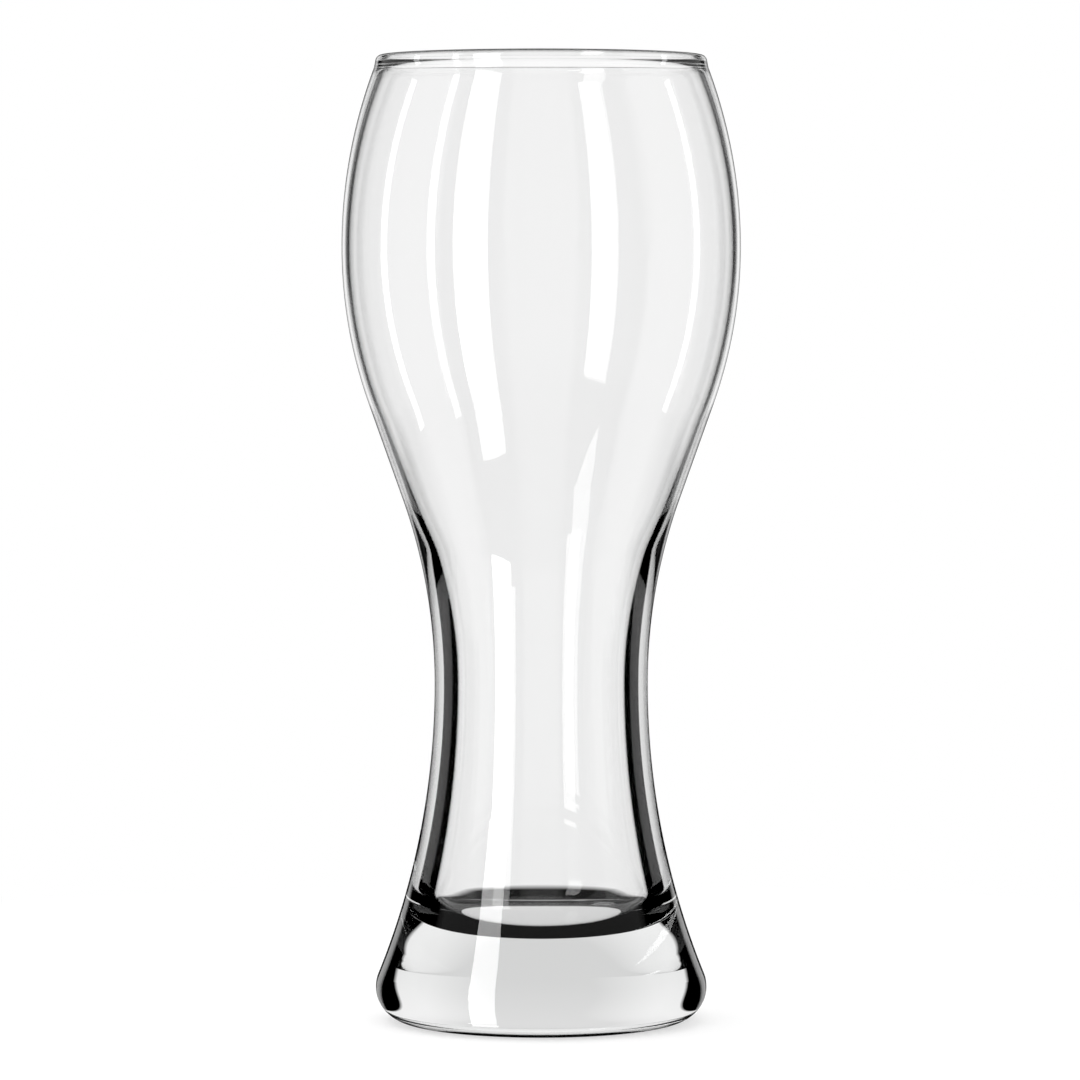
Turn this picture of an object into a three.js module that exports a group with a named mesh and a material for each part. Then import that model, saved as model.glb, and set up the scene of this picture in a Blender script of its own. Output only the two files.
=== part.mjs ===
// A tall wheat-beer glass: solid heavy foot, thick waisted wall, thin bulging bowl, rounded lip.
// The real glass is one piece, so its zones are modelled as solids that meet on level faces.
// Millimetres, +Z up, origin on the table under the middle of the foot.
import * as THREE from 'three';

// Heights above the table
const glassHeight = 230;
const bowlHeight = 184.4; // widest part of the bowl
const shoulderHeight = 136; // middle of the straight shoulder, outside
const wellShoulderHeight = 129.6; // middle of the straight shoulder, inside
const waistHeight = 80.8; // narrowest part
const floorHeight = 20.3; // inside floor, on solid glass

// Outside diameters
const lipDiameter = 79.3; // of the wall where the rounded lip starts
const bowlDiameter = 94.8;
const waistDiameter = 50.8;
const footDiameter = 79;

// Wall thickness, measured level
const lipWall = 2.5;
const bowlWall = 1.8;
const waistWall = 5.5;

// Rounds, straights and the well inside
const lipThickness = 3; // bead of the lip, also its height
const shoulderLength = 24;
const wellShoulderLength = 34;
const footRound = 8.2;
const wellDiameter = 51.2; // widest part of the inside, just above its floor
const wellRound = 9;

// Level seams between the zones of the wall
const lowerSeam = 58;
const neckSeam = 104;
const bellySeam = 147;
const bowlSeam = 172;
const crownSeam = 200;

// Facets
const arcSteps = 6;
const turnSteps = 48;

const lipSeam = glassHeight - lipThickness;

// Radius of an arc that leaves the upright direction and moves sideways by reach over a rise.
function arcRadius(reach, rise) {
  return (reach * reach + rise * rise) / (2 * reach);
}

// Arc in the radius and height plane, climbing from one height to another. A hollow arc has its
// centre outside the glass, a full one has it towards the axis.
function climbingArc(centre, radius, from, to, hollow) {
  const turn = (height) => Math.asin((height - centre.y) / radius);
  const angle = (height) => (hollow ? Math.PI - turn(height) : turn(height));
  return new THREE.EllipseCurve(centre.x, centre.y, radius, radius, angle(from), angle(to), hollow);
}

// One face of the wall, outside or inside, as arcs that run smoothly into each other.
function wallFace({ base, foot, round, shoulder, straight, waist, bowl, lip }) {
  const roundCentre = new THREE.Vector2(foot - round, base + round);
  const flareRise = waistHeight - roundCentre.y;
  const centreDistance = arcRadius(foot - waist, flareRise);
  const flareArc = centreDistance - round;
  const flareCentre = new THREE.Vector2(waist + flareArc, waistHeight);
  const flareStart = roundCentre.y + (round * flareRise) / centreDistance;
  const flareAngle = Math.asin(flareRise / centreDistance);

  const reach = bowl - waist;
  const rise = bowlHeight - waistHeight;
  const lean = 2 * Math.atan(reach / (rise + straight));
  const arcSum = (rise - straight * Math.cos(lean)) / Math.sin(lean);
  const straightRise = straight * Math.cos(lean);
  const neckArc = (shoulder - straightRise / 2 - waistHeight) / Math.sin(lean);
  const bellyArc = arcSum - neckArc;
  const neckCentre = new THREE.Vector2(waist + neckArc, waistHeight);
  const bellyCentre = new THREE.Vector2(bowl - bellyArc, bowlHeight);

  const crownArc = arcRadius(bowl - lip, lipSeam - bowlHeight);
  const crownCentre = new THREE.Vector2(bowl - crownArc, bowlHeight);

  const neckTop = shoulder - straightRise / 2;
  const bellyBase = shoulder + straightRise / 2;
  const neck = (from, to) => climbingArc(neckCentre, neckArc, from, to, true);
  const straightStart = neck(waistHeight, neckTop).getPoint(1);
  const onStraight = (height) => new THREE.Vector2(
    straightStart.x + (height - neckTop) * Math.tan(lean), height);
  return {
    flareStart,
    lipLean: Math.asin((lipSeam - bowlHeight) / crownArc),
    round: new THREE.EllipseCurve(
      roundCentre.x, roundCentre.y, round, round, -Math.PI / 2, flareAngle, false),
    runs: [
      {
        from: flareStart,
        to: waistHeight,
        curve: (from, to) => climbingArc(flareCentre, flareArc, from, to, true),
      },
      { from: waistHeight, to: neckTop, curve: neck },
      {
        from: neckTop,
        to: bellyBase,
        curve: (from, to) => new THREE.LineCurve(onStraight(from), onStraight(to)),
      },
      {
        from: bellyBase,
        to: bowlHeight,
        curve: (from, to) => climbingArc(bellyCentre, bellyArc, from, to, false),
      },
      {
        from: bowlHeight,
        to: lipSeam,
        curve: (from, to) => climbingArc(crownCentre, crownArc, from, to, false),
      },
    ],
  };
}

// Curves of a face between two heights.
function climb(face, from, to) {
  return face.runs
    .filter((run) => run.from < to && run.to > from)
    .map((run) => run.curve(Math.max(from, run.from), Math.min(to, run.to)));
}

const outside = wallFace({
  base: 0,
  foot: footDiameter / 2,
  round: footRound,
  shoulder: shoulderHeight,
  straight: shoulderLength,
  waist: waistDiameter / 2,
  bowl: bowlDiameter / 2,
  lip: lipDiameter / 2,
});

const inside = wallFace({
  base: floorHeight,
  foot: wellDiameter / 2,
  round: wellRound,
  shoulder: wellShoulderHeight,
  straight: wellShoulderLength,
  waist: waistDiameter / 2 - waistWall,
  bowl: bowlDiameter / 2 - bowlWall,
  lip: lipDiameter / 2 - lipWall,
});

const footSeam = inside.flareStart;

// Points along a chain of curves, without the doubled points where two of them meet.
function trace(curves) {
  const points = curves.flatMap((curve) => curve.getPoints(curve.isLineCurve ? 1 : arcSteps));
  const joint = 1e-6;
  return points.filter((point, i) => i === 0 || point.distanceTo(points[i - 1]) > joint);
}

function glassPart(name, outline) {
  const geometry = new THREE.LatheGeometry(outline, turnSteps);
  geometry.rotateX(Math.PI / 2);
  const material = new THREE.MeshStandardMaterial({
    color: 0xf3f7f6, roughness: 0.03, metalness: 0, transparent: true, opacity: 0.35,
  });
  const mesh = new THREE.Mesh(geometry, material);
  mesh.name = name;
  return mesh;
}

// Solid base: flat underside, rounded edge, flaring side and the dished floor inside.
function makeFoot() {
  const underside = new THREE.Vector2(0, 0);
  const outer = [outside.round, ...climb(outside, outside.flareStart, footSeam)];
  const floorMiddle = new THREE.Vector2(0, floorHeight);
  return glassPart('foot', [underside, ...trace(outer), ...trace([inside.round]).reverse(), floorMiddle]);
}

// Ring of wall between two level seams: up its outside, across, down its inside and back.
function makeRing(name, from, to) {
  const outer = trace(climb(outside, from, to));
  const inner = trace(climb(inside, from, to)).reverse();
  return glassPart(name, [...outer, ...inner, outer[0].clone()]);
}

// Rounded lip: a bead on the leaning wall, met by straight sides that touch it.
function makeLip() {
  const radius = lipThickness / 2;
  const outerFoot = new THREE.Vector2(lipDiameter / 2, lipSeam);
  const innerFoot = new THREE.Vector2(lipDiameter / 2 - lipWall, lipSeam);
  const lean = radius * Math.tan(outside.lipLean);
  const centre = new THREE.Vector2((outerFoot.x + innerFoot.x) / 2 - lean, lipSeam + radius);
  const touch = (foot, side) => {
    const sight = foot.clone().sub(centre);
    return sight.angle() + side * Math.acos(radius / sight.length());
  };
  const beadArc = (from, to) => new THREE.EllipseCurve(
    centre.x, centre.y, radius, radius, from, to, false);
  const top = Math.PI / 2;
  const bead = trace([beadArc(touch(outerFoot, 1), top), beadArc(top, touch(innerFoot, -1))]);
  return glassPart('lip', [outerFoot, ...bead, innerFoot, outerFoot.clone()]);
}

const glass = new THREE.Group();
glass.name = 'beer_glass';
glass.add(
  makeFoot(),
  makeRing('lower_wall', footSeam, lowerSeam),
  makeRing('waist', lowerSeam, neckSeam),
  makeRing('shoulder', neckSeam, bellySeam),
  makeRing('belly', bellySeam, bowlSeam),
  makeRing('bowl', bowlSeam, crownSeam),
  makeRing('crown', crownSeam, lipSeam),
  makeLip(),
);

export default glass;
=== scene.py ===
"""Tall wheat-beer glass of clear glass on a bright studio stage, laid out as a Blender add-on."""
import math
from typing import NamedTuple

import bmesh
import bpy
from bpy.props import FloatProperty, FloatVectorProperty, IntProperty, PointerProperty
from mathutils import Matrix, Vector


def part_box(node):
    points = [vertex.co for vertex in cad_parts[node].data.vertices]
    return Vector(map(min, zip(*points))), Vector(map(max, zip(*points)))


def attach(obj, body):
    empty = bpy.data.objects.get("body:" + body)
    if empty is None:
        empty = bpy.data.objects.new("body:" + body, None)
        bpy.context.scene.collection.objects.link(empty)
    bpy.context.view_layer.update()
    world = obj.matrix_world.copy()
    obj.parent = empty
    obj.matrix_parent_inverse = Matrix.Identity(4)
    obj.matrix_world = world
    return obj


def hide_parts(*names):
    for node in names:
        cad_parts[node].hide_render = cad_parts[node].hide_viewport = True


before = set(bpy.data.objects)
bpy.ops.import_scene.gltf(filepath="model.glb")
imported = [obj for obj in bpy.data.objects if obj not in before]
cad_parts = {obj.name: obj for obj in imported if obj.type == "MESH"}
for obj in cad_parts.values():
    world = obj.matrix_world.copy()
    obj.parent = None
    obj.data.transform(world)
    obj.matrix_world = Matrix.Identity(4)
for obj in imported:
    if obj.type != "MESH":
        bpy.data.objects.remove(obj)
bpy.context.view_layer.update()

bl_info = {
    "name": "Wheat-beer glass",
    "version": (1, 0, 0),
    "blender": (4, 5, 0),
    "location": "3D View > Sidebar > Beer glass",
    "description": "A waisted beer glass with a heavy foot, and the stage it stands on",
    "category": "Object",
}

GLASS_NODES = ("foot", "lower_wall", "waist", "shoulder", "belly", "bowl", "crown", "lip")
UP = (0.0, 0.0, 1.0)
WHITE = (1.0, 1.0, 1.0, 1.0)
MILLIMETRE = 0.001


def node_top(node):
    """Height of the top of a solid."""
    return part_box(node)[1].z


def node_width(node):
    """Width of a solid across X."""
    low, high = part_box(node)
    return high.x - low.x


def length(name, description, default):
    """A length in metres for a property group."""
    return FloatProperty(name=name, description=description, default=default, unit="LENGTH", precision=5)


def angle(name, description, degrees):
    """An angle for a property group, given in degrees."""
    return FloatProperty(name=name, description=description, default=math.radians(degrees), subtype="ANGLE")


class GlassSizes(bpy.types.PropertyGroup):
    """Sizes of the glass: heights from the table, outside diameters and level wall thickness."""

    height: length("Height", "Top of the lip above the table", node_top("lip"))
    lip_thickness: length("Lip", "Thickness of the rounded lip", node_top("lip") - node_top("crown"))
    lip_diameter: length("Mouth", "Outside of the wall where the lip starts", node_width("lip"))
    lip_wall: length("Wall at lip", "Wall thickness under the lip", 2.5 * MILLIMETRE)
    bowl_diameter: length("Bowl", "Widest outside diameter", node_width("bowl"))
    bowl_height: length("Bowl height", "Height of the widest part", 184.4 * MILLIMETRE)
    bowl_wall: length("Wall at bowl", "Wall thickness at the widest part", 1.8 * MILLIMETRE)
    shoulder_height: length("Shoulder height", "Middle of the straight shoulder", 136 * MILLIMETRE)
    shoulder_length: length("Shoulder", "Length of the straight shoulder", 24 * MILLIMETRE)
    well_shoulder_height: length("Inner shoulder height", "Middle of the inner shoulder", 129.6 * MILLIMETRE)
    well_shoulder_length: length("Inner shoulder", "Length of the inner shoulder", 34 * MILLIMETRE)
    waist_diameter: length("Waist", "Narrowest outside diameter", 50.8 * MILLIMETRE)
    waist_height: length("Waist height", "Height of the narrowest part", 80.8 * MILLIMETRE)
    waist_wall: length("Wall at waist", "Wall thickness at the narrowest part", 5.5 * MILLIMETRE)
    foot_diameter: length("Foot", "Widest diameter of the foot", node_width("foot"))
    foot_round: length("Foot round", "Radius of the foot's rounded edge", 8.2 * MILLIMETRE)
    floor_height: length("Floor", "Inside floor above the table", 20.3 * MILLIMETRE)
    well_diameter: length("Well", "Widest inside diameter above the floor", 51.2 * MILLIMETRE)
    well_round: length("Well round", "Radius between inside wall and floor", 9 * MILLIMETRE)
    turn_steps: IntProperty(name="Turn steps", description="Facets around the glass", default=160, min=16)
    arc_step: length("Arc step", "Longest facet along the outline", 1.6 * MILLIMETRE)


class GlassFinish(bpy.types.PropertyGroup):
    """Look of the glass."""

    tint: FloatVectorProperty(
        name="Tint", description="Colour that thick glass takes on", subtype="COLOR",
        size=3, min=0.0, max=1.0, default=(0.55, 0.57, 0.56))
    density: FloatProperty(name="Density", description="How fast thick glass takes its tint", default=4.0)
    refraction: FloatProperty(name="IOR", description="Index of refraction of soda-lime glass", default=1.52)
    ripple: length("Ripple", "Height of the faint waves that blowing leaves", 0.004 * MILLIMETRE)
    ripple_scale: FloatProperty(name="Ripple scale", description="Waves in a metre", default=60.0)
    # Painted shade: base-colour levels of the thin dark lines painted on the crest of the lip and just above
    # the table
    crest_shade_level: FloatProperty(name="Crest", description="Level of the thin line on the lip", default=0.02)
    heel_shade_level: FloatProperty(name="Heel", description="Level of the line above the table", default=0.05)
    heel_lean: angle("Heel lean", "Lean of the gloss low on the rounded edge", 24.5)
    flare_lean: angle("Flare lean", "Lean of the gloss where the flare starts", 22.4)
    far_lean: angle("Far lean", "Lean of the foot's far side seen through the glass", -20.0)


class StageSettings(bpy.types.PropertyGroup):
    """Camera and floor."""

    camera_distance: length("Camera distance", "From the axis of the glass", 1.33)
    camera_height: length("Camera height", "Above the table", 0.177)
    camera_pitch: angle("Camera pitch", "How far the camera looks down", 2.676)
    camera_lens: FloatProperty(name="Lens", description="Focal length in millimetres", default=186.35)
    camera_shift: FloatProperty(name="Shift", description="Sideways, as share of the frame", default=-0.0011)
    floor_radius: length("Floor", "Radius of the floor", 1.6)


def arc_radius(reach, rise):
    """Radius of an arc that starts upright and moves sideways by reach over a rise."""
    return (reach * reach + rise * rise) / (2.0 * reach)


class WallFace:
    """One face of the wall, outside or inside: centres and turns of its tangent arcs."""

    def __init__(self, size, base, foot, foot_round, shoulder, straight, waist, bowl, lip):
        self.round_centre = (foot - foot_round, base + foot_round)
        self.base = (foot - foot_round, base)
        rise = size.waist_height - self.round_centre[1]
        centre_distance = arc_radius(foot - waist, rise)
        self.flare_turn = math.asin(rise / centre_distance)
        self.flare_centre = (waist + centre_distance - foot_round, size.waist_height)

        rise = size.bowl_height - size.waist_height
        self.lean = 2.0 * math.atan((bowl - waist) / (rise + straight))
        straight_rise = straight * math.cos(self.lean)
        arc_sum = (rise - straight_rise) / math.sin(self.lean)
        neck_arc = (shoulder - straight_rise / 2.0 - size.waist_height) / math.sin(self.lean)
        belly_arc = arc_sum - neck_arc
        self.neck_centre = (waist + neck_arc, size.waist_height)
        self.belly_centre = (bowl - belly_arc, size.bowl_height)
        self.neck_end = self.on_arc(self.neck_centre, neck_arc, math.pi - self.lean)
        self.belly_start = self.on_arc(self.belly_centre, belly_arc, -self.lean)

        lip_seam = size.height - size.lip_thickness
        crown_arc = arc_radius(bowl - lip, lip_seam - size.bowl_height)
        self.crown_centre = (bowl - crown_arc, size.bowl_height)
        self.crown_turn = math.asin((lip_seam - size.bowl_height) / crown_arc)
        self.lip = (lip, lip_seam)

    @staticmethod
    def on_arc(centre, radius, turn):
        """Point of an arc at an angle."""
        return (centre[0] + radius * math.cos(turn), centre[1] + radius * math.sin(turn))


class Outline:
    """Half outline of the glass in the X and Z plane, drawn from its tip onwards."""

    WIDEST_TURN = math.radians(4.0)

    def __init__(self, start, arc_step):
        self.mesh = bmesh.new()
        self.arc_step = arc_step
        self.tip = self.mesh.verts.new((start[0], 0.0, start[1]))

    def line(self, end):
        """Draw straight on to a point."""
        stride = Vector((end[0], 0.0, end[1])) - self.tip.co
        steps = math.ceil(stride.length / self.arc_step)
        for _ in range(steps):
            self.tip = bmesh.ops.extrude_vert_indiv(self.mesh, verts=[self.tip])["verts"][0]
            self.tip.co += stride / steps

    def arc(self, centre, turn):
        """Draw on round a centre, anticlockwise if the turn is positive."""
        hub = Vector((centre[0], 0.0, centre[1]))
        radius = (self.tip.co - hub).length
        steps = max(abs(turn) / self.WIDEST_TURN, abs(turn) * radius / self.arc_step)
        swept = bmesh.ops.spin(
            self.mesh, geom=[self.tip], cent=hub, axis=(0.0, -1.0, 0.0), angle=turn, steps=math.ceil(steps))
        self.tip = next(part for part in swept["geom_last"] if isinstance(part, bmesh.types.BMVert))


def draw_outline(size):
    """The whole outline: under the foot, up the outside, over the lip, down the inside, across the floor."""
    outside = WallFace(
        size, base=0.0, foot=size.foot_diameter / 2, foot_round=size.foot_round,
        shoulder=size.shoulder_height, straight=size.shoulder_length,
        waist=size.waist_diameter / 2, bowl=size.bowl_diameter / 2, lip=size.lip_diameter / 2)
    inside = WallFace(
        size, base=size.floor_height, foot=size.well_diameter / 2, foot_round=size.well_round,
        shoulder=size.well_shoulder_height, straight=size.well_shoulder_length,
        waist=size.waist_diameter / 2 - size.waist_wall, bowl=size.bowl_diameter / 2 - size.bowl_wall,
        lip=size.lip_diameter / 2 - size.lip_wall)

    outline = Outline((0.0, 0.0), size.arc_step)
    outline.line(outside.base)
    outline.arc(outside.round_centre, math.pi / 2 + outside.flare_turn)
    outline.arc(outside.flare_centre, -outside.flare_turn)
    outline.arc(outside.neck_centre, -outside.lean)
    outline.line(outside.belly_start)
    outline.arc(outside.belly_centre, outside.lean)
    outline.arc(outside.crown_centre, outside.crown_turn)

    draw_lip(outline, size, outside, inside)

    outline.arc(inside.crown_centre, -inside.crown_turn)
    outline.arc(inside.belly_centre, -inside.lean)
    outline.line(inside.neck_end)
    outline.arc(inside.neck_centre, inside.lean)
    outline.arc(inside.flare_centre, inside.flare_turn)
    outline.arc(inside.round_centre, -math.pi / 2 - inside.flare_turn)
    outline.line((0.0, size.floor_height))
    return outline.mesh


def draw_lip(outline, size, outside, inside):
    """Rounded bead on the leaning wall, met by straight sides that touch it."""
    radius = size.lip_thickness / 2
    middle = (outside.lip[0] + inside.lip[0]) / 2 - radius * math.tan(outside.crown_turn)
    centre = (middle, outside.lip[1] + radius)

    def touch(foot, side):
        """Angle on the bead where a side from the seam touches it."""
        sight = Vector((foot[0] - centre[0], foot[1] - centre[1]))
        return math.atan2(sight.y, sight.x) + side * math.acos(radius / sight.length)

    start = touch(outside.lip, 1)
    end = touch(inside.lip, -1) + 2 * math.pi
    outline.line(WallFace.on_arc(centre, radius, start))
    outline.arc(centre, end - start)
    outline.line(inside.lip)


def mesh_object(name, mesh_data, material):
    """Object at the origin that holds a finished bmesh."""
    mesh = bpy.data.meshes.new(name)
    mesh_data.to_mesh(mesh)
    mesh_data.free()
    mesh.polygons.foreach_set("use_smooth", [True] * len(mesh.polygons))
    mesh.materials.append(material)
    piece = bpy.data.objects.new(name, mesh)
    bpy.context.scene.collection.objects.link(piece)
    return piece


class Nodes:
    """Short ways to add nodes to a material or a world."""

    def __init__(self, owner):
        owner.use_nodes = True
        self.tree = owner.node_tree

    def join(self, value, socket):
        """Link an input to another node's output, or set its value."""
        if isinstance(value, bpy.types.NodeSocket):
            self.tree.links.new(value, socket)
        else:
            socket.default_value = value

    def add(self, kind, **inputs):
        """New node with some inputs joined, named as on the node with _ for a space."""
        node = self.tree.nodes.new("ShaderNode" + kind)
        for name, value in inputs.items():
            self.join(value, node.inputs[name.replace("_", " ")])
        return node

    def operate(self, kind, operation, values):
        """New node of an operation with its inputs joined in order."""
        node = self.add(kind)
        node.operation = operation
        for value, socket in zip(values, node.inputs):
            self.join(value, socket)
        return node

    def math(self, operation, *values):
        """Result of an operation on numbers."""
        return self.operate("Math", operation, values).outputs["Value"]

    def vector(self, operation, *values):
        """Result of an operation on vectors."""
        return self.operate("VectorMath", operation, values).outputs["Vector"]

    def size_of(self, vector):
        """Length of a vector."""
        return self.operate("VectorMath", "LENGTH", [vector]).outputs["Value"]

    def product(self, first, *others):
        """Product of two or more numbers."""
        for value in others:
            first = self.math("MULTIPLY", first, value)
        return first

    def square(self, value):
        """A number times itself."""
        return self.math("MULTIPLY", value, value)

    def mix(self, share, first, second):
        """The first number, or the second where the share is one."""
        return self.add("Mix", Factor=share, A=first, B=second).outputs["Result"]

    def ramp(self, value, low, high, at_low, at_high):
        """Straight ramp between two levels, flat beyond its ends."""
        node = self.add("MapRange", Value=value, From_Min=low, From_Max=high, To_Min=at_low, To_Max=at_high)
        return node.outputs["Result"]

    def fan(self, value, low, high, at_low, at_high):
        """Ramp over an angle whose ends are in degrees."""
        return self.ramp(value, math.radians(low), math.radians(high), at_low, at_high)

    def band(self, value, rise, fall, low=0.0, high=1.0, after=0.0):
        """Level that rises over one range of an angle and falls again over another, in degrees."""
        return self.product(self.fan(value, *rise, low, high), self.fan(value, *fall, 1.0, after))

    def place(self):
        """Place on the piece, from its origin."""
        return self.add("TexCoord").outputs["Object"]

    def axes(self, vector):
        """The three numbers of a vector."""
        return self.add("SeparateXYZ", Vector=vector).outputs

    def blend(self, share, first, second):
        """The first shader, or the second where the share is one."""
        node = self.add("MixShader", Fac=share)
        self.join(first.outputs[0], node.inputs[1])
        self.join(second.outputs[0], node.inputs[2])
        return node

    def finish(self, shader, channel="Surface"):
        """Give a shader to the material's output."""
        self.join(shader.outputs[0], self.tree.nodes["Material Output"].inputs[channel])


# Heights on the foot between which its gloss changes its lean, and where its rounded edge turns under
HEEL_HEIGHT = 5 * MILLIMETRE
FLARE_HEIGHT = 11.3 * MILLIMETRE
TURN_UNDER = (1.5 * MILLIMETRE, 4 * MILLIMETRE)
# Thin dark lines of painted shade: how far below the top of the lip one starts and is full, and where the
# other ends
CREST_SHADE_START = 1 * MILLIMETRE
CREST_SHADE_FULL = 0.3 * MILLIMETRE
HEEL_SHADE_TOP = 2 * MILLIMETRE
# How far below the inside floor the foot's far side is evened out
FAR_MARGIN = 0.1 * MILLIMETRE


def heel_normal(nodes, size, finish):
    """Even out the solid foot: seen from outside, the gloss runs on from the flare round the lower edge and
    turns under close to the table; seen through the foot, its far side leans evenly."""
    place = nodes.axes(nodes.place())
    height = place["Z"]
    surface = nodes.add("NewGeometry").outputs
    normal = surface["Normal"]
    within = surface["Backfacing"]
    lean = nodes.ramp(height, HEEL_HEIGHT, FLARE_HEIGHT, finish.heel_lean, finish.flare_lean)
    rise = nodes.math("TANGENT", nodes.mix(within, lean, finish.far_lean))
    level = nodes.add("CombineXYZ", X=place["X"], Y=place["Y"]).outputs["Vector"]
    outward = nodes.axes(nodes.vector("NORMALIZE", level))
    even = nodes.add("CombineXYZ", X=outward["X"], Y=outward["Y"], Z=rise).outputs["Vector"]
    facing = nodes.math("MULTIPLY_ADD", within, -2.0, 1.0)
    even = nodes.vector("MULTIPLY", nodes.vector("NORMALIZE", even), facing)
    bottom = nodes.mix(within, nodes.ramp(height, *TURN_UNDER, 0.0, 1.0), 1.0)
    top = nodes.math("LESS_THAN", height, nodes.mix(within, FLARE_HEIGHT, size.floor_height - FAR_MARGIN))
    change = nodes.vector("SUBTRACT", even, normal)
    return nodes.vector(
        "NORMALIZE", nodes.vector("MULTIPLY_ADD", change, nodes.product(bottom, top), normal))


def clear_glass(size, finish):
    """Clear soda-lime glass: sharp refraction, faint waves from blowing, pale tint where it is thick, and
    thin dark lines of painted shade on the crest of the lip and just above the table."""
    material = bpy.data.materials.new("clear_glass")
    nodes = Nodes(material)
    shader = nodes.tree.nodes["Principled BSDF"]
    place = nodes.place()
    height = nodes.axes(place)["Z"]
    # Painted shade: the base colour goes nearly black in a thin line on the crest of the lip and, on the
    # outer face, just above the table
    crest = nodes.ramp(height, size.height - CREST_SHADE_START, size.height - CREST_SHADE_FULL, 1.0, finish.crest_shade_level)
    within = nodes.add("NewGeometry").outputs["Backfacing"]
    heel = nodes.math("MAXIMUM", within, nodes.ramp(height, 0.0, HEEL_SHADE_TOP, finish.heel_shade_level, 1.0))
    nodes.join(nodes.product(crest, heel), shader.inputs["Base Color"])
    shader.inputs["Transmission Weight"].default_value = 1.0
    shader.inputs["Roughness"].default_value = 0.0
    shader.inputs["IOR"].default_value = finish.refraction
    waves = nodes.add("TexNoise", Vector=place, Scale=finish.ripple_scale)
    bump = nodes.add(
        "Bump", Distance=finish.ripple, Height=waves.outputs[0], Normal=heel_normal(nodes, size, finish))
    nodes.join(bump.outputs["Normal"], shader.inputs["Normal"])
    nodes.finish(nodes.add("VolumeAbsorption", Color=(*finish.tint, 1.0), Density=finish.density), "Volume")
    return material


class BEERGLASS_OT_blow_glass(bpy.types.Operator):
    """Make the glass: turn its outline round the axis and give it its finish"""

    bl_idname = "beerglass.blow_glass"
    bl_label = "Blow glass"

    def execute(self, context):
        scene = context.scene
        size = scene.beer_glass_sizes
        mesh = draw_outline(size)
        bmesh.ops.spin(
            mesh, geom=mesh.verts[:] + mesh.edges[:], cent=(0.0, 0.0, 0.0), axis=UP,
            angle=2 * math.pi, steps=size.turn_steps, use_merge=True)
        bmesh.ops.remove_doubles(mesh, verts=mesh.verts[:], dist=0.001 * MILLIMETRE)
        bmesh.ops.recalc_face_normals(mesh, faces=mesh.faces[:])
        glass = mesh_object("beer_glass", mesh, clear_glass(size, scene.beer_glass_finish))
        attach(glass, "root")
        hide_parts(*GLASS_NODES)
        return {"FINISHED"}


class RayPath:
    """What a ray has done before it meets the stage."""

    def __init__(self, nodes):
        self.nodes = nodes
        path = nodes.add("LightPath").outputs
        self.from_camera = path["Is Camera Ray"]
        self.length = path["Ray Length"]
        self.faces = path["Transmission Depth"]
        self.straight = nodes.math("LESS_THAN", path["Glossy Depth"], 0.5)

    def through(self, faces):
        """One for rays that have gone through this many faces of the glass."""
        return self.nodes.math("COMPARE", self.faces, float(faces), 0.1)

    def through_more_than(self, faces):
        """One for rays that have gone through more faces of the glass."""
        return self.nodes.math("GREATER_THAN", self.faces, faces + 0.5)


def turn_from_behind(nodes, axes):
    """Turn round the glass, to either side, away from straight behind it."""
    return nodes.math("ABSOLUTE", nodes.math("ARCTAN2", axes["X"], axes["Y"]))


# Backdrops and flags that show in reflections inside the glass, in degrees of turn and rise
WINDOW_RISE = (-3, -1)
WINDOW_HALVES = (math.radians(22), math.radians(20))
WINDOW_EDGE = (0, 3)
BEYOND_TURN = (33, 39)
BEYOND_LEVEL = 0.65
BACKDROP_CHANGE = 0.3
BACKDROP_LEVEL = 0.6
CEILING_RISE = (42, 50)
CEILING_LEVEL = 0.8
GROUND_RISE = (-50, -42)
QUARTER_TURN = math.pi / 2


def flagged_studio(nodes, turn, rise):
    """Level of the studio that shows in reflections inside the glass: four backdrops between dark flags."""
    half_turn = nodes.math("PINGPONG", turn, QUARTER_TURN)
    off_middle = nodes.math("MINIMUM", half_turn, nodes.math("SUBTRACT", QUARTER_TURN, half_turn))
    window = nodes.fan(rise, *WINDOW_RISE, *WINDOW_HALVES)
    open_sky = nodes.fan(nodes.math("SUBTRACT", off_middle, window), *WINDOW_EDGE, 1.0, 0.0)
    behind = nodes.math("LESS_THAN", turn, QUARTER_TURN)
    beyond = nodes.product(nodes.fan(turn, *BEYOND_TURN, 0.0, BEYOND_LEVEL), behind)
    backdrop = nodes.math("MULTIPLY_ADD", nodes.math("COSINE", turn), BACKDROP_CHANGE, BACKDROP_LEVEL)
    level = nodes.product(nodes.math("MAXIMUM", open_sky, beyond), backdrop)
    ceiling = nodes.fan(rise, *CEILING_RISE, 0.0, CEILING_LEVEL)
    return nodes.math("MULTIPLY_ADD", level, nodes.fan(rise, *GROUND_RISE, 0.0, 1.0), ceiling)


# Bands of light that show in the outer gloss: degrees of turn over which they rise and fall, and levels
EDGE_BAND = {"rise": (8, 18), "fall": (20.5, 24.5), "low": 0.03, "high": 0.95, "after": 0.03}
SIDE_BAND = {"rise": (30, 38), "fall": (64, 90), "high": 0.45, "after": 0.6}
SHEEN_RISE = (-35, -25)


def outer_sheen(nodes, turn, rise):
    """Level of the studio that shows in the outer gloss of the bowl."""
    bands = nodes.math("MAXIMUM", nodes.band(turn, **EDGE_BAND), nodes.band(turn, **SIDE_BAND))
    return nodes.product(bands, nodes.fan(rise, *SHEEN_RISE, 0.0, 1.0))


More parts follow.
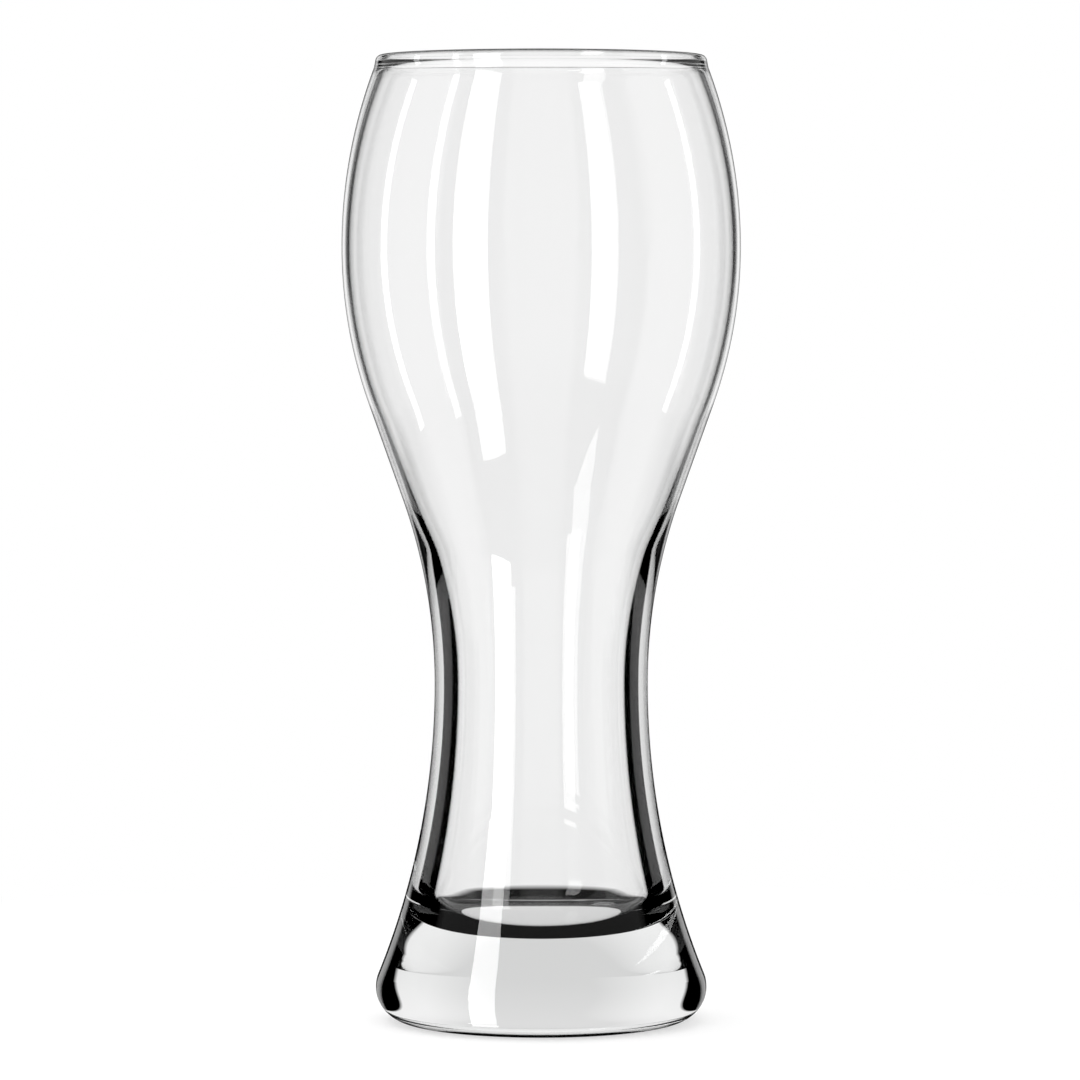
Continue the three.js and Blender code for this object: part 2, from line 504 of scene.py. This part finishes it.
def white_world():
    """Studio round the glass: white straight through it, with dark flags beside the backdrop in its gloss."""
    world = bpy.data.worlds.new("studio")
    nodes = Nodes(world)
    background = nodes.tree.nodes["Background"]
    background.inputs["Color"].default_value = WHITE
    direction = nodes.axes(nodes.add("TexCoord").outputs["Generated"])
    turn = turn_from_behind(nodes, direction)
    rise = nodes.math("ARCSINE", direction["Z"])
    path = RayPath(nodes)
    gloss = nodes.mix(path.through(0), flagged_studio(nodes, turn, rise), outer_sheen(nodes, turn, rise))
    nodes.join(nodes.mix(path.straight, gloss, 1.0), background.inputs["Strength"])
    bpy.context.scene.world = world


def stage_piece(name, mesh):
    """Piece of the stage; returns the nodes of its material, which has no shader yet."""
    material = bpy.data.materials.new(name)
    nodes = Nodes(material)
    nodes.tree.nodes.remove(nodes.tree.nodes["Principled BSDF"])
    mesh_object(name, mesh, material)
    return nodes


# Dark cards round the glass and the light between them, in degrees of turn and heights above the table
FLAG_DISTANCE = 0.15
FLAG_DEPTH = 0.3
FLAG_TOP = (83 * MILLIMETRE, 95 * MILLIMETRE)
INNER_FLAG = {"rise": (31, 34), "fall": (67, 70)}
OUTER_FLAG_END = (92, 100)
FOOT_GLEAM = {"rise": (29, 33), "fall": (43, 48), "high": 0.9}
FOOT_GLEAM_TOP = (33 * MILLIMETRE, 38 * MILLIMETRE)
ROUND_SEGMENTS = 96


def dark_flags():
    """Low dark cards close behind the glass that show only in its gloss, beside the waist and the foot."""
    mesh = bmesh.new()
    bmesh.ops.create_cone(
        mesh, cap_ends=False, segments=ROUND_SEGMENTS, radius1=FLAG_DISTANCE, radius2=FLAG_DISTANCE,
        depth=FLAG_DEPTH)
    nodes = stage_piece("flags", mesh)
    place = nodes.axes(nodes.place())
    turn = turn_from_behind(nodes, place)
    path = RayPath(nodes)
    outer = path.through(0)
    gleam_top = nodes.ramp(place["Z"], *FOOT_GLEAM_TOP, 1.0, 0.0)
    gleam = nodes.add("Emission", Strength=nodes.product(nodes.band(turn, **FOOT_GLEAM), gleam_top, outer))
    cover = nodes.mix(outer, nodes.band(turn, **INNER_FLAG), nodes.fan(turn, *OUTER_FLAG_END, 1.0, 0.0))
    thrown_back = nodes.math("SUBTRACT", 1.0, path.straight)
    share = nodes.product(cover, nodes.ramp(place["Z"], *FLAG_TOP, 1.0, 0.0), thrown_back)
    nodes.finish(nodes.blend(share, nodes.add("BsdfTransparent"), gleam))


def off_axis(nodes, ray, reach, radius):
    """How far from the axis a ray passes that leaves a radius of the foot and lands on the floor at a reach
    from the axis, from the length of its way between the two."""
    square = nodes.square(radius)
    along = nodes.math("ADD", nodes.square(ray), nodes.math("SUBTRACT", square, nodes.square(reach)))
    along = nodes.math("DIVIDE", along, nodes.math("MULTIPLY", ray, 2.0))
    aside = nodes.math("SUBTRACT", square, nodes.square(along))
    return nodes.math("SQRT", nodes.math("MAXIMUM", aside, 0.0))


# Painted shade on the floor below the foot, seen only through the glass
# Floor below the foot: radius of the foot's side, and distances off the axis with the levels there
SIDE_RADIUS = 39.3 * MILLIMETRE
UNDER_SHADE = (8 * MILLIMETRE, 20 * MILLIMETRE, 0.76, 0.97)
UNDER_EDGE = (23 * MILLIMETRE, 23.6 * MILLIMETRE, 1.0, 0.0)


def under_foot(nodes, ray, reach):
    """Level of the painted shade on the floor below the solid foot: white towards its sides and dark at its
    edge.
    """
    aside = off_axis(nodes, ray, reach, SIDE_RADIUS)
    return nodes.product(nodes.ramp(aside, *UNDER_SHADE), nodes.ramp(aside, *UNDER_EDGE))


# Painted shade on the floor behind the foot, seen only through the glass
# Floor behind the foot: slope of the rays that leave it, and distances off the axis with the levels there
FAR_SLOPE = 0.08
# Painted shade in the middle, and painted light a little above white towards the sides
BEHIND_SHADE = (12 * MILLIMETRE, 28 * MILLIMETRE, 0.8, 1.08)
# Where its dark edge starts, by the length of the ray: from the foot's far side, and more close to it
EDGE_START = (10 * MILLIMETRE, 20 * MILLIMETRE, 31.7 * MILLIMETRE, 30.3 * MILLIMETRE)
EDGE_CLOSE = (5 * MILLIMETRE, 10 * MILLIMETRE, 2.1 * MILLIMETRE, 0.0)
EDGE_BLUR = (-0.4 * MILLIMETRE, 0.4 * MILLIMETRE, 1.0, 0.0)
# Rays longer than this come from the wall above the foot and see a painted grey level
WALL_RAY = 220 * MILLIMETRE
WALL_LEVEL = 0.88


def behind_foot(nodes, ray, reach, size):
    """Level of the painted shade on the floor behind the solid foot, so that it runs on from the floor below
    it.
    """
    height = nodes.math("MINIMUM", nodes.math("MULTIPLY", ray, FAR_SLOPE), size.foot_round)
    bulge = nodes.product(height, nodes.math("SUBTRACT", 2 * size.foot_round, height))
    radius = nodes.math("ADD", nodes.math("SQRT", bulge), size.foot_diameter / 2 - size.foot_round)
    aside = off_axis(nodes, ray, reach, radius)
    start = nodes.math("ADD", nodes.ramp(ray, *EDGE_CLOSE), nodes.ramp(ray, *EDGE_START))
    edge = nodes.ramp(nodes.math("SUBTRACT", aside, start), *EDGE_BLUR)
    level = nodes.product(nodes.ramp(aside, *BEHIND_SHADE), edge)
    return nodes.mix(nodes.math("GREATER_THAN", ray, WALL_RAY), level, WALL_LEVEL)


# Painted shade on the floor behind the well, seen only through the glass
# Radius from which rays leave the far side, least heights from which they drop, and where they land on white
WALL_RADIUS = 30 * MILLIMETRE
WALL_DROP = ((25 * MILLIMETRE) ** 2, (32 * MILLIMETRE) ** 2, 0.0, 1.0)
FAR_ARC = (85 * MILLIMETRE, 105 * MILLIMETRE, 0.0, 1.0)


def beyond_well(nodes, ray, reach):
    """Level of the painted shade on the floor behind the well: dark close to the foot, but not for rays from
    the wall above it.
    """
    level_way = nodes.math("SUBTRACT", reach, WALL_RADIUS)
    drop = nodes.math("SUBTRACT", nodes.square(ray), nodes.square(level_way))
    return nodes.math("MAXIMUM", nodes.ramp(reach, *FAR_ARC), nodes.ramp(drop, *WALL_DROP))


# The floor touches the flat underside: the least height that keeps the two faces apart
FLOOR_LIFT = 0.02 * MILLIMETRE
# Painted grey shade on the floor for rays that come through the well
WELL_LEVEL = 0.72
# Share of the floor that takes the shadow, by the distance from the axis
SHADOW_SHARE = (80 * MILLIMETRE, 300 * MILLIMETRE, 0.4, 0.0)
# Within this distance the floor is dark in reflections, beyond it they see the studio
DARK_REACH = 60 * MILLIMETRE


def pale_floor(stage, size):
    """White floor that keeps the soft shadow of the glass near it and runs out into the white studio; seen
    through the glass, its glow carries painted shade.
    """
    mesh = bmesh.new()
    bmesh.ops.create_circle(mesh, cap_ends=True, radius=stage.floor_radius, segments=ROUND_SEGMENTS)
    bmesh.ops.translate(mesh, verts=mesh.verts[:], vec=(0.0, 0.0, FLOOR_LIFT))
    nodes = stage_piece("floor", mesh)
    path = RayPath(nodes)
    ray = path.length
    reach = nodes.size_of(nodes.place())
    # Painted shade: seen through the glass, the floor's glow is set by how many faces the ray has gone
    # through
    level = nodes.mix(path.through_more_than(3), 1.0, beyond_well(nodes, ray, reach))
    level = nodes.mix(path.through(3), level, WELL_LEVEL)
    level = nodes.mix(path.through(2), level, behind_foot(nodes, ray, reach, size))
    level = nodes.mix(path.through(1), level, under_foot(nodes, ray, reach))
    glow = nodes.add("Emission", Strength=nodes.mix(path.straight, 0.0, level))
    paint = nodes.add("BsdfDiffuse", Color=WHITE)
    shadow = nodes.product(path.from_camera, nodes.ramp(reach, *SHADOW_SHARE))
    near = nodes.math("LESS_THAN", reach, DARK_REACH)
    seen = nodes.math("MAXIMUM", path.straight, near)
    nodes.finish(nodes.blend(seen, nodes.add("BsdfTransparent"), nodes.blend(shadow, glow, paint)))


class Strip(NamedTuple):
    """Tall strip light: degrees round the glass, then lengths, and whether it shows in the outer gloss or
    from within the glass."""

    name: str
    middle: float
    width: float
    distance: float
    low: float
    high: float
    strength: float = 4.0
    outer: bool = True


STRIPS = (
    Strip("bowl_strip", middle=-32.0, width=16.8, distance=0.105, low=0.079, high=0.279),
    Strip("thin_strip", middle=-51.0, width=4.3, distance=0.1, low=0.1, high=0.269),
    Strip("side_strip", middle=-80.6, width=4.8, distance=0.1, low=0.105, high=0.258),
    Strip("right_strip", middle=79.5, width=4.2, distance=0.1, low=0.11, high=0.258),
    Strip("waist_strip", middle=-40.1, width=19.4, distance=0.9, low=-0.367, high=0.3, strength=8.0),
    Strip("foot_strip", middle=-37.0, width=17.0, distance=0.1, low=0.03, high=0.0655, strength=7.0),
    Strip("far_strip", middle=-40.7, width=17.0, distance=0.9, low=-0.62, high=0.72, outer=False),
)
OVERHEAD_SIZE = 1.4
OVERHEAD_STRENGTH = 1.6
OVERHEAD_PLACE = (-0.3, -0.2, 1.5)
OVERHEAD_TILT = (math.radians(-7.6), math.radians(-11.3), 0.0)


def area_light(name, width, height, strength):
    """Rectangular softbox of an even brightness."""
    data = bpy.data.lights.new(name, "AREA")
    data.shape = "RECTANGLE"
    data.size = width
    data.size_y = height
    data.energy = strength * math.pi * width * height
    lamp = bpy.data.objects.new(name, data)
    bpy.context.scene.collection.objects.link(lamp)
    lamp.visible_camera = False
    return lamp


def strip_light(strip):
    """Tall strip light that faces the glass."""
    width = 2 * strip.distance * math.tan(math.radians(strip.width) / 2)
    lamp = area_light(strip.name, width, strip.high - strip.low, strip.strength)
    turn = math.radians(strip.middle)
    middle_height = (strip.low + strip.high) / 2
    lamp.location = (strip.distance * math.sin(turn), -strip.distance * math.cos(turn), middle_height)
    lamp.rotation_euler = (math.pi / 2, 0.0, turn)
    lamp.visible_diffuse = False
    lamp.visible_glossy = strip.outer
    lamp.visible_transmission = not strip.outer


def overhead_light():
    """Wide softbox above that casts the shadow on the floor."""
    lamp = area_light("overhead", OVERHEAD_SIZE, OVERHEAD_SIZE, OVERHEAD_STRENGTH)
    lamp.location = OVERHEAD_PLACE
    lamp.rotation_euler = OVERHEAD_TILT
    lamp.visible_glossy = False
    lamp.visible_transmission = False


def photo_camera(stage):
    """Camera in front of the glass that looks slightly down."""
    data = bpy.data.cameras.new("camera")
    data.lens = stage.camera_lens
    data.sensor_width = 36.0
    data.shift_x = stage.camera_shift
    camera = bpy.data.objects.new("camera", data)
    bpy.context.scene.collection.objects.link(camera)
    camera.location = (0.0, -stage.camera_distance, stage.camera_height)
    camera.rotation_euler = (math.pi / 2 - stage.camera_pitch, 0.0, 0.0)
    return camera


class BEERGLASS_OT_set_stage(bpy.types.Operator):
    """Set the floor, the studio, the lights and the camera"""

    bl_idname = "beerglass.set_stage"
    bl_label = "Set stage"

    def execute(self, context):
        scene = context.scene
        stage = scene.beer_glass_stage
        white_world()
        pale_floor(stage, scene.beer_glass_sizes)
        dark_flags()
        for strip in STRIPS:
            strip_light(strip)
        overhead_light()
        scene.camera = photo_camera(stage)
        scene.view_settings.view_transform = "Standard"
        scene.cycles.max_bounces = 32
        scene.cycles.glossy_bounces = 16
        scene.cycles.transmission_bounces = 32
        return {"FINISHED"}


class BEERGLASS_PT_panel(bpy.types.Panel):
    """Buttons that blow the beer glass and set its stage"""

    bl_idname = "BEERGLASS_PT_panel"
    bl_label = "Beer glass"
    bl_space_type = "VIEW_3D"
    bl_region_type = "UI"
    bl_category = "Beer glass"

    def draw(self, context):
        for operator in OPERATORS:
            self.layout.operator(operator.bl_idname)


GROUPS = {
    "beer_glass_sizes": GlassSizes,
    "beer_glass_finish": GlassFinish,
    "beer_glass_stage": StageSettings,
}
OPERATORS = (BEERGLASS_OT_blow_glass, BEERGLASS_OT_set_stage)
CLASSES = (*GROUPS.values(), *OPERATORS, BEERGLASS_PT_panel)


def register():
    for cls in CLASSES:
        bpy.utils.register_class(cls)
    for name, group in GROUPS.items():
        setattr(bpy.types.Scene, name, PointerProperty(type=group))


def unregister():
    for name in GROUPS:
        delattr(bpy.types.Scene, name)
    for cls in reversed(CLASSES):
        bpy.utils.unregister_class(cls)


def main():
    """Build the glass and its stage."""
    register()
    bpy.ops.beerglass.blow_glass()
    bpy.ops.beerglass.set_stage()


if __name__ == "__main__":
    main()
